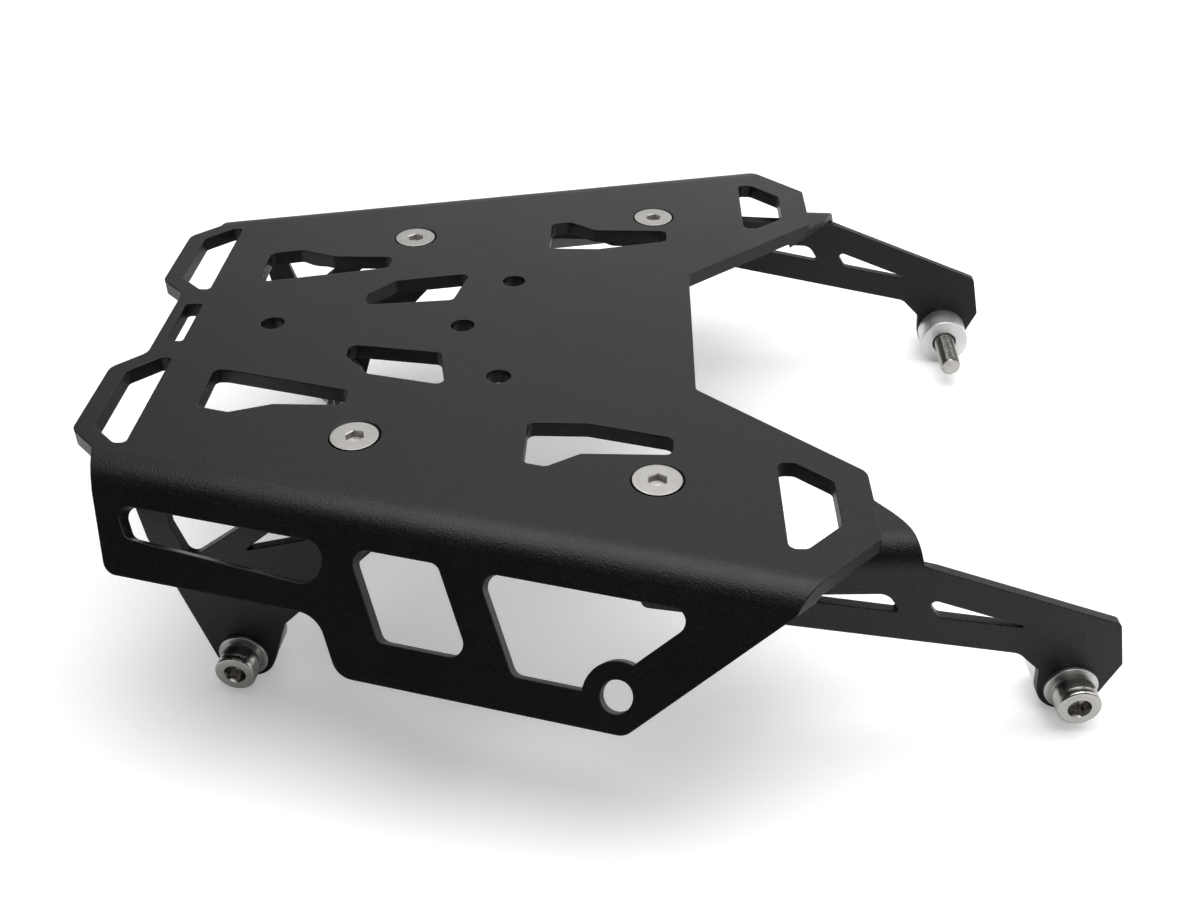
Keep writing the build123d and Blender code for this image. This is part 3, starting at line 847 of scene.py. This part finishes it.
@dataclass
class PlateScrews(Hardware):
    """Countersunk screws, washers and nuts that clamp the deck to its brackets."""

    head: float = 16.0
    sink: float = 0.06
    rim_gap: float = 0.64
    shank: float = 8.0
    socket: float = 5.0
    socket_depth: float = 2.2
    socket_lead: float = 0.30
    drill_tip: Pair = (0.6, 0.5)
    face_ring: float = 1.2
    edge: float = 0.18
    neck_ease: float = 0.4
    grip: float = 9.2
    thread_gap: float = 0.02
    washer_outside: float = 16.0
    washer_bore: float = 8.8
    washer_ease: float = 0.3
    nut: float = 13.0
    nut_gap: float = 0.05
    nut_rim: float = 0.1
    nut_lead: float = 0.5
    nut_fall: float = 0.55
    turn_step: float = 17.0

    def screw_rings(self, length: float) -> list[Profile]:
        """Section of the screw, from its socket round to its point.

        Args:
            length: from the deck's top face to the point.

        Returns:
            The rings in order.
        """
        top = -self.sink
        head = self.head / 2 - self.rim_gap
        shank = self.shank / 2
        neck = top - (head - shank)
        rings = [
            circle(self.drill_tip[0], top - self.socket_depth - self.drill_tip[1]),
            hexagon(self.socket, top - self.socket_depth),
            hexagon(self.socket, top - self.socket_lead),
            hexagon(self.socket + 2 * self.socket_lead, top),
        ]
        rings += rounded(
            [
                (head - self.face_ring, top, 0),
                (head, top, self.edge),
                (shank, neck, self.neck_ease),
                (shank, -self.grip, 0),
            ]
        )
        rings += Thread(crest=shank - self.thread_gap).rings(-self.grip, -length)
        return rings

    def washer_rings(self, thickness: float) -> list[Profile]:
        """Section of a plain washer with eased edges.

        Args:
            thickness: of the washer.

        Returns:
            The rings in order, to be joined end to end.
        """
        outer, inner = self.washer_outside / 2, self.washer_bore / 2
        half, ease = thickness / 2, self.washer_ease
        return rounded([(inner, half, 0), (outer, half, ease), (outer, -half, ease), (inner, -half, 0)])

    def nut_rings(self, height: float) -> list[Profile]:
        """Section of a hexagon nut with both faces chamfered.

        Args:
            height: of the nut.

        Returns:
            The rings in order, to be joined end to end.
        """
        half, bore, rim = height / 2, self.shank / 2 + self.nut_gap, self.nut / 2 - self.nut_rim
        return [
            circle(bore, half - self.nut_lead),
            circle(bore + self.nut_lead, half),
            circle(rim, half),
            hexagon(self.nut, half, rim, -self.nut_fall),
            hexagon(self.nut, -half, rim, self.nut_fall),
            circle(rim, -half),
            circle(bore + self.nut_lead, -half),
            circle(bore, self.nut_lead - half),
        ]

    def build(self) -> int:
        """Make all the deck's fasteners.

        Returns:
            The number of pieces made.
        """
        made = 0
        for end, side in self.corners:
            tail = f"{end.value}_{side.value}"
            low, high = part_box(f"plate_screw_{tail}")
            spot = Vector(((low[0] + high[0]) / 2, (low[1] + high[1]) / 2, high[2]))
            turn = Matrix.Rotation(math.radians(self.turn_step * (made + 1)), 4, "Z")
            screw = self.lathe.mesh(f"screw_{tail}", self.screw_rings((high[2] - low[2]) / MM))
            self.seat(screw, f"plate_screw_{tail}", "screw_steel", Matrix.Translation(spot) @ turn)
            for kind, rings in (("washer", self.washer_rings), ("nut", self.nut_rings)):
                low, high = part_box(f"plate_{kind}_{tail}")
                spot.z = (low[2] + high[2]) / 2
                piece = self.lathe.mesh(f"{kind}_{tail}", rings((high[2] - low[2]) / MM), closed=True)
                self.seat(piece, f"plate_{kind}_{tail}", f"{kind}_steel", Matrix.Translation(spot))
            made += 3
        return made


@dataclass
class MountingBolts(Hardware):
    """Socket head bolts with washer and spacer, square to each web's taper."""

    tapers: dict[End, float] = field(default_factory=lambda: {End.REAR: 0.0875, End.FRONT: -0.045})
    bracket: float = 3.0
    head: float = 13.0
    head_height: float = 8.0
    socket: float = 6.0
    socket_depth: float = 4.0
    socket_rim: float = 7.1
    socket_lead: float = 0.9
    drill_tip: Pair = (0.8, 0.7)
    face_ring: float = 1.6
    face_edge: float = 0.7
    upper_band: Pair = (1.7, 2.5)
    lower_band: float = 1.3
    band_depth: float = 0.22
    band_slope: float = 0.2
    band_edges: Pair = (0.15, 0.1)
    shank: float = 8.0
    length: float = 35.0
    thread_start: float = 3.0
    thread_gap: float = 0.04
    washer_outside: float = 16.0
    washer_bore: float = 8.8
    washer_thickness: float = 1.6
    washer_ease: float = 0.3
    spacer_outside: float = 19.1
    spacer_bore: float = 9.2
    spacer_length: float = 11.2
    spacer_ease: float = 0.55
    first_turn: float = 9.0
    turn_step: float = 23.0

    def bolt_rings(self) -> list[Profile]:
        """Section of the bolt, from its socket round to its point.

        Returns:
            The rings in order, with the web's outer face at zero.
        """
        seat = self.washer_thickness
        top = seat + self.head_height
        radius, shank = self.head / 2, self.shank / 2
        waist = radius - self.band_depth
        thread = self.thread_start - self.bracket - self.spacer_length
        slope, (crest, root) = self.band_slope, self.band_edges
        start, stop = (top - depth for depth in self.upper_band)
        rings = [
            circle(self.drill_tip[0], top - self.socket_depth - self.drill_tip[1]),
            hexagon(self.socket, top - self.socket_depth),
            hexagon(self.socket, top - self.socket_lead),
            circle(self.socket_rim / 2, top),
        ]
        rings += rounded(
            [
                (radius - self.face_ring, top, 0),
                (radius, top, self.face_edge),
                (radius, start, crest),
                (waist, start - slope, root),
                (waist, stop + slope, root),
                (radius, stop, crest),
                (radius, seat + self.lower_band, crest),
                (waist, seat + self.lower_band - slope, root),
                (waist, seat, crest),
                (shank, seat, 0),
                (shank, thread, 0),
            ]
        )
        rings += Thread(crest=shank - self.thread_gap).rings(thread, seat - self.length)
        return rings

    def ring_section(self, outside: float, bore: float, heights: Pair, ease: float) -> list[Profile]:
        """Section of a plain ring with eased edges.

        Args:
            outside: outside diameter.
            bore: bore diameter.
            heights: lower and upper height.
            ease: size of the eased corners.

        Returns:
            The rings in order, to be joined end to end.
        """
        outer, inner, lead = outside / 2, bore / 2, ease / 2
        low, high = heights
        corners = [
            (inner + lead, high, 0),
            (outer, high, ease),
            (outer, low, ease),
            (inner + lead, low, 0),
            (inner, low + lead, 0),
            (inner, high - lead, 0),
        ]
        return rounded(corners)

    def place(self, end: End, side: Side) -> Matrix:
        """Where a bolt sits, from the CAD spacer on its axis.

        Args:
            end: rear or front.
            side: right or left.

        Returns:
            The bolt's place, with local Z outward from the web's outer face.
        """
        low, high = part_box(f"mount_spacer_{end.value}_{side.value}")
        middle = (Vector(low) + Vector(high)) / 2
        outward = Vector((-self.tapers[end], side.sign, 0.0)).normalized()
        origin = middle + outward * (self.spacer_length / 2 + self.bracket) * MM
        return Matrix.Translation(origin) @ outward.to_track_quat("Z", "Y").to_matrix().to_4x4()

    def build(self) -> int:
        """Make the four sets.

        Returns:
            The number of pieces made.
        """
        made = 0
        over, under = (0.0, self.washer_thickness), (-self.bracket - self.spacer_length, -self.bracket)
        washer = self.ring_section(self.washer_outside, self.washer_bore, over, self.washer_ease)
        spacer = self.ring_section(self.spacer_outside, self.spacer_bore, under, self.spacer_ease)
        for end, side in self.corners:
            tail = f"{end.value}_{side.value}"
            spot = self.place(end, side)
            turn = Matrix.Rotation(math.radians(self.first_turn + self.turn_step * made), 4, "Z")
            piece = self.lathe.mesh(f"bolt_{tail}", self.bolt_rings())
            self.seat(piece, f"mount_bolt_{tail}", "bolt_steel", spot @ turn)
            piece = self.lathe.mesh(f"bolt_washer_{tail}", washer, closed=True)
            self.seat(piece, f"mount_washer_{tail}", "washer_steel", spot)
            piece = self.lathe.mesh(f"spacer_{tail}", spacer, closed=True)
            self.seat(piece, f"mount_spacer_{tail}", "spacer_aluminium", spot)
            made += 3
        return made


@dataclass(frozen=True)
class FrontBend:
    """A bracket's front fold, as the rounder fold and curved cut of the real one.

    Lengths are in millimetres. A point of the sheet is known by how far along the fold
    it is, how far down the unfolded sheet, and how far off the sheet's middle. The cut's
    pairs are distances along and down, and the cut is a curve of three points.
    """

    half_width: float = 114.426
    taper: float = -0.045
    top: float = -5.0
    thickness: float = 3.0
    radius: float = 6.0
    full_radius: float = 8.6
    blend: Pair = (94.0, 114.0)
    cut_start: Pair = (132.95, -9.5)
    cut_pull: Pair = (136.87, -4.2)
    cut_stop: Pair = (139.5, 8.07)
    cut_margin: float = 0.01
    cut_lead: float = 0.1
    inner_gap: float = 0.3
    rim_facing: float = 0.35
    layer_limit: float = 1.6
    foot_margin: float = 1.0
    sliced_past: Pair = (88.0, -30.0)
    blend_step: float = 2.0
    fold_step: float = 0.4
    fold_slices: tuple[int, int] = (17, 8)
    fold_margin: float = 4.0
    slice_gap: float = 0.0001
    weld: float = 0.02

    @property
    def middle(self) -> float:
        """Radius of the fold's middle layer."""
        return self.radius - self.thickness / 2

    @property
    def arc(self) -> float:
        """Length of the fold's middle layer."""
        return self.middle * math.pi / 2

    def unfold(self, spot: Vector, side: Side) -> Triple:
        """Find a point's place on the unfolded sheet.

        Args:
            spot: the point, in metres.
            side: the bracket's side.

        Returns:
            The distances along, down and off the sheet.
        """
        along, across = self.axes()
        flat = Vector((spot.x / MM, spot.y * side.sign / MM - self.half_width))
        reach, out, height = flat.dot(along), flat.dot(across), spot.z / MM
        web_top = self.top - self.radius
        if height <= web_top:
            return reach, self.arc + web_top - height, out + self.thickness / 2
        if out <= -self.radius:
            return reach, out + self.radius, height - self.top + self.thickness / 2
        swing = math.atan2(out + self.radius, height - web_top)
        return reach, swing * self.middle, math.hypot(out + self.radius, height - web_top) - self.middle

    def axes(self) -> tuple[Vector, Vector]:
        """Directions along and across the fold, on the left bracket."""
        angle = math.atan(self.taper)
        return Vector((math.cos(angle), math.sin(angle))), Vector((-math.sin(angle), math.cos(angle)))

    def fold(self, reach: float, down: float, off: float, side: Side) -> Vector:
        """Fold a point of the sheet round the fuller radius.

        Args:
            reach: distance along the fold.
            down: distance down the unfolded sheet.
            off: distance off the sheet's middle.
            side: the bracket's side.

        Returns:
            The point, in metres.
        """
        ease = min(1.0, max(0.0, (reach - self.blend[0]) / (self.blend[1] - self.blend[0])))
        grow = (self.full_radius - self.radius) * ease * ease * (3 - 2 * ease)
        radius, span = self.radius + grow, self.arc + 2 * grow
        if down < -grow:
            out, height = down - self.radius, self.top - self.thickness / 2 + off
        elif down > self.arc + grow:
            out, height = off - self.thickness / 2, self.top - self.radius + self.arc - down
        else:
            swing = math.pi / 2 * (down + grow) / span
            ring = radius - self.thickness / 2 + off
            out, height = ring * math.sin(swing) - radius, self.top - radius + ring * math.cos(swing)
        along, across = self.axes()
        flat = along * reach + across * out
        return Vector((flat.x, (flat.y + self.half_width) * side.sign, height)) * MM

    def cut(self, down: float) -> float:
        """How far along the fold the sheet's curved front cut is.

        Args:
            down: distance down the unfolded sheet.

        Returns:
            The distance along the fold.
        """
        start, pull, stop = self.cut_start, self.cut_pull, self.cut_stop
        square, slope = start[1] - 2 * pull[1] + stop[1], 2 * (pull[1] - start[1])
        root = math.sqrt(max(0.0, slope * slope - 4 * square * (start[1] - down)))
        part = (root - slope) / (2 * square)
        return start[0] * (1 - part) ** 2 + 2 * pull[0] * part * (1 - part) + stop[0] * part**2

    def directions(self, side: Side) -> tuple[Vector, Vector]:
        """Level directions along and out from one bracket's fold.

        Args:
            side: the bracket's side.

        Returns:
            The two directions in the row frame.
        """
        along, across = self.axes()
        return Vector((along.x, along.y * side.sign, 0.0)), Vector((across.x, across.y * side.sign, 0.0))

    def slices(self, side: Side) -> list[tuple[Vector, Vector]]:
        """Planes that cut the sheet finely enough to follow the fuller fold.

        Args:
            side: the bracket's side.

        Returns:
            A point and a normal for each plane, in metres.
        """
        line, out = self.directions(side)
        up = Vector((0.0, 0.0, 1.0))
        origin = Vector((0.0, self.half_width * side.sign * MM, 0.0))
        first, last = self.blend
        reaches = [first + self.blend_step * n for n in range(round((last - first) / self.blend_step) + 1)]
        reaches.append(self.cut_start[0] - self.cut_lead)
        planes = [(origin + line * reach * MM, line) for reach in reaches]
        planes.append((origin + out * (self.cut_start[1] - self.radius) * MM, out))
        over, under = self.fold_slices
        grow = self.full_radius - self.radius
        for step in range(over):
            offset = step * self.fold_step - self.radius - grow - self.fold_margin
            planes.append((origin + out * offset * MM, out))
        for step in range(under):
            planes.append((up * ((self.top - self.radius - step * self.fold_step) * MM), up))
        return planes

    def reshape(self, mesh: bmesh.types.BMesh, side: Side) -> None:
        """Slice the sheet finely at the fold, then fold and cut it anew.

        Args:
            mesh: the bracket's mesh, in metres.
            side: the bracket's side.
        """
        past_x, past_z = (limit * MM for limit in self.sliced_past)
        for spot, normal in self.slices(side):
            near = [f for f in mesh.faces if any(v.co.x > past_x and v.co.z > past_z for v in f.verts)]
            parts = set(near) | {edge for face in near for edge in face.edges}
            parts |= {vert for face in near for vert in face.verts}
            gap = self.slice_gap * MM
            bmesh.ops.bisect_plane(mesh, geom=list(parts), dist=gap, plane_co=spot, plane_no=normal)
        mesh.normal_update()
        line, _ = self.directions(side)
        ends = {face for face in mesh.faces if abs(face.normal.dot(line)) > self.rim_facing}
        rim = {vert for vert in mesh.verts if not ends.isdisjoint(vert.link_faces)}
        foot = self.arc + self.full_radius - self.radius + self.foot_margin
        moved: dict[bmesh.types.BMVert, Vector] = {}
        for vert in mesh.verts:
            reach, down, off = self.unfold(vert.co, side)
            if reach < self.blend[0] or down > foot or abs(off) > self.layer_limit:
                continue
            if reach > self.cut_start[0] and self.cut_start[1] <= down <= self.cut_stop[1] + self.cut_margin:
                edge = self.cut(down)
                reach = edge if vert in rim else min(reach, edge - self.inner_gap)
            moved[vert] = self.fold(reach, down, off, side)
        for vert, spot in moved.items():
            vert.co = spot
        bmesh.ops.remove_doubles(mesh, verts=mesh.verts, dist=self.weld * MM)


@dataclass
class FoldedSheets:
    """The plate, which keeps its CAD mesh, and the brackets with their real front fold."""

    finishes: dict[str, bpy.types.Material]
    plate: str = "rack_plate"
    bend: FrontBend = field(default_factory=FrontBend)
    sharp_angle: float = 30.0
    weld: float = 0.001

    def build(self, nodes: dict[str, bpy.types.Object]) -> int:
        """Put the coats on.

        Args:
            nodes: the CAD nodes by name.

        Returns:
            The number of nodes dressed.
        """
        for slot in nodes[self.plate].material_slots:
            slot.material = self.finishes["deck_coat"]
        log.info("%s: %d faces", self.plate, len(nodes[self.plate].data.polygons))
        for side in Side:
            self.bracket(nodes[f"bracket_{side.value}"], side)
        return 1 + len(Side)

    def bracket(self, node: bpy.types.Object, side: Side) -> None:
        """Make one bracket from its CAD sheet.

        Args:
            node: the CAD node.
            side: the bracket's side.
        """
        sheet = bmesh.new()
        sheet.from_mesh(node.data)
        bmesh.ops.remove_doubles(sheet, verts=sheet.verts, dist=self.weld * MM)
        self.bend.reshape(sheet, side)
        mesh = bpy.data.meshes.new(f"folded_bracket_{side.value}")
        sheet.to_mesh(mesh)
        sheet.free()
        if "custom_normal" in mesh.attributes:
            mesh.attributes.remove(mesh.attributes["custom_normal"])
        shade_smooth(mesh, self.sharp_angle)
        mesh.materials.clear()
        mesh.materials.append(self.finishes["bracket_coat"])
        piece = add_object(mesh.name, mesh)
        flat = piece.modifiers.new("flat_faces", "WEIGHTED_NORMAL")
        flat.keep_sharp = True
        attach(piece, "root")
        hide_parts(node.name)
        log.info("%s: %d faces", piece.name, len(mesh.polygons))


# Studio


@dataclass(frozen=True)
class Lamp:
    """One soft rectangular lamp that looks at the rack, with its sizes in metres."""

    name: str
    place: Triple
    target: Triple
    width: float
    depth: float
    watts: float

    def build(self) -> bpy.types.Object:
        """Hang the lamp.

        Returns:
            The lamp's object.
        """
        light = bpy.data.lights.new(self.name, "AREA")
        light.shape = "RECTANGLE"
        light.size, light.size_y = self.width, self.depth
        light.energy = self.watts
        made = add_object(self.name, light)
        aim = Vector(self.target) - Vector(self.place)
        made.matrix_world = Matrix.Translation(self.place) @ aim.to_track_quat("-Z", "Y").to_matrix().to_4x4()
        return made


@dataclass
class Studio:
    """Camera, lamps, sky and the floor that the rack's legs and arms stand on, in metres."""

    floor_finish: Finish
    eye: Triple = (0.0569, -0.3890, 0.2270)
    forward: Triple = (-0.0212, 0.8132, -0.5816)
    right: Triple = (0.9997, 0.0256, -0.0006)
    lens: float = 39.69
    sensor: float = 36.0
    near: float = 0.01
    rear_foot: Pair = (-0.0651, -0.0723)
    front_foot: Pair = (0.1895, -0.0590)
    foot_radius: float = 0.0098
    floor_size: float = 5.0
    sky_back: Triple = (0.55, 0.72, 0.42)
    sky_range: Pair = (0.08, 1.0)
    sky_levels: Pair = (0.035, 0.92)
    lamps: tuple[Lamp, ...] = (
        Lamp("overhead_softbox", (0.05, 0.02, 1.10), (0.03, -0.02, 0.0), 1.3, 1.1, 13.5),
        Lamp("side_softbox", (1.30, 0.10, 0.80), (0.0, 0.0, 0.0), 0.9, 0.9, 3.6),
    )

    def camera(self) -> None:
        """Stand the camera where the photograph was taken from."""
        data = bpy.data.cameras.new("photo_camera")
        data.lens, data.sensor_width, data.sensor_fit = self.lens, self.sensor, "HORIZONTAL"
        data.clip_start = self.near
        made = add_object("photo_camera", data)
        forward = Vector(self.forward).normalized()
        right = Vector(self.right)
        right = (right - forward * right.dot(forward)).normalized()
        up = right.cross(forward)
        frame = Matrix((right, up, -forward)).transposed().to_4x4()
        made.matrix_world = Matrix.Translation(self.eye) @ frame
        bpy.context.scene.camera = made

    def floor(self) -> bpy.types.Object:
        """Lay the floor against the ends of the legs and arms.

        Returns:
            The floor's object.
        """
        run = self.front_foot[0] - self.rear_foot[0]
        pitch = math.atan2(self.front_foot[1] - self.rear_foot[1], run)
        drop = self.foot_radius / math.cos(pitch)
        height = self.rear_foot[1] - drop - self.rear_foot[0] * math.tan(pitch)
        half = self.floor_size / 2
        mesh = bpy.data.meshes.new("studio_floor")
        corners = [(-half, -half, 0), (half, -half, 0), (half, half, 0), (-half, half, 0)]
        mesh.from_pydata(corners, [], [(0, 1, 2, 3)])
        made = add_object("studio_floor", mesh)
        made.matrix_world = Matrix.Translation((0.0, 0.0, height)) @ Matrix.Rotation(-pitch, 4, "Y")
        mesh.materials.append(self.floor_finish.build())
        return made

    def sky(self) -> None:
        """Make the sky white for the camera, and for light a white back fading to a dark front."""
        world = bpy.data.worlds.new("studio_sky")
        world.use_nodes = True
        world.node_tree.nodes.clear()
        graph = Graph(world.node_tree)
        ray = graph.node("ShaderNodeLightPath")
        direction = graph.node("ShaderNodeTexCoord").outputs["Generated"]
        back = graph.vector("DOT_PRODUCT", direction, self.sky_back).outputs["Value"]
        levels = (graph.span(back, *self.sky_range, *self.sky_levels), 1.0)
        pick = graph.node("ShaderNodeMixShader")
        graph.feed(pick.inputs[0], ray.outputs["Is Camera Ray"])
        for socket, level in zip(pick.inputs[1:], levels):
            white = graph.node("ShaderNodeBackground")
            graph.feed(white.inputs["Color"], (1.0, 1.0, 1.0))
            graph.feed(white.inputs["Strength"], level)
            graph.feed(socket, white.outputs[0])
        leave = graph.node("ShaderNodeOutputWorld")
        graph.feed(leave.inputs["Surface"], pick.outputs[0])
        bpy.context.scene.world = world

    def build(self) -> None:
        """Set up the whole studio."""
        self.camera()
        self.floor()
        self.sky()
        for lamp in self.lamps:
            lamp.build()
        bpy.context.scene.view_settings.view_transform = "Standard"
        log.info("studio: camera, floor, sky and %d lamps", len(self.lamps))


def finishes() -> dict[str, bpy.types.Material]:
    """Make the rack's materials.

    Returns:
        The materials by the record's slot names.
    """
    coat = {
        "colour": (0.0040, 0.0040, 0.0042),
        "pale": (0.0130, 0.0130, 0.0132),
        # edge: colour of the painted highlight along the cut corners
        "edge": (0.014, 0.014, 0.014),
        "edge_radius": 0.0007,
    }
    makers = (
        PowderCoat("deck_coat", roughness=0.32, grain_scale=1750.0, grain_depth=0.00014, **coat),
        PowderCoat("bracket_coat", roughness=0.33, grain_scale=1500.0, grain_depth=0.00022, **coat),
        # Clean and dull colour, roughness, then the rings' pitch and depth in metres
        TurnedMetal("screw_steel", (0.57, 0.556, 0.528), (0.39, 0.38, 0.36), 0.34, 0.00028, 0.000012),
        TurnedMetal("washer_steel", (0.68, 0.68, 0.67), (0.55, 0.55, 0.54), 0.28, 0.00030, 0.00001),
        TurnedMetal("nut_steel", (0.62, 0.62, 0.61), (0.48, 0.48, 0.47), 0.30, 0.00035, 0.00001),
        TurnedMetal("bolt_steel", (0.58, 0.565, 0.535), (0.36, 0.35, 0.33), 0.20, 0.00030, 0.000008),
        TurnedMetal("spacer_aluminium", (0.88, 0.88, 0.88), (0.79, 0.79, 0.79), 0.40, 0.00035, 0.000006),
    )
    return {maker.name: maker.build() for maker in makers}


def main() -> None:
    """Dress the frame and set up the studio."""
    logging.basicConfig(level=logging.INFO, format="%(name)s: %(message)s")
    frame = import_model()
    materials = finishes()
    count = FoldedSheets(materials).build(frame["nodes"])
    count += PlateScrews(materials).build()
    count += MountingBolts(materials).build()
    log.info("rack: %d pieces", count)
    Studio(PaperFloor("studio_paper", (0.90, 0.90, 0.90), (0.88, 0.88, 0.88), lift=0.32)).build()


if __name__ == "__main__":
    main()
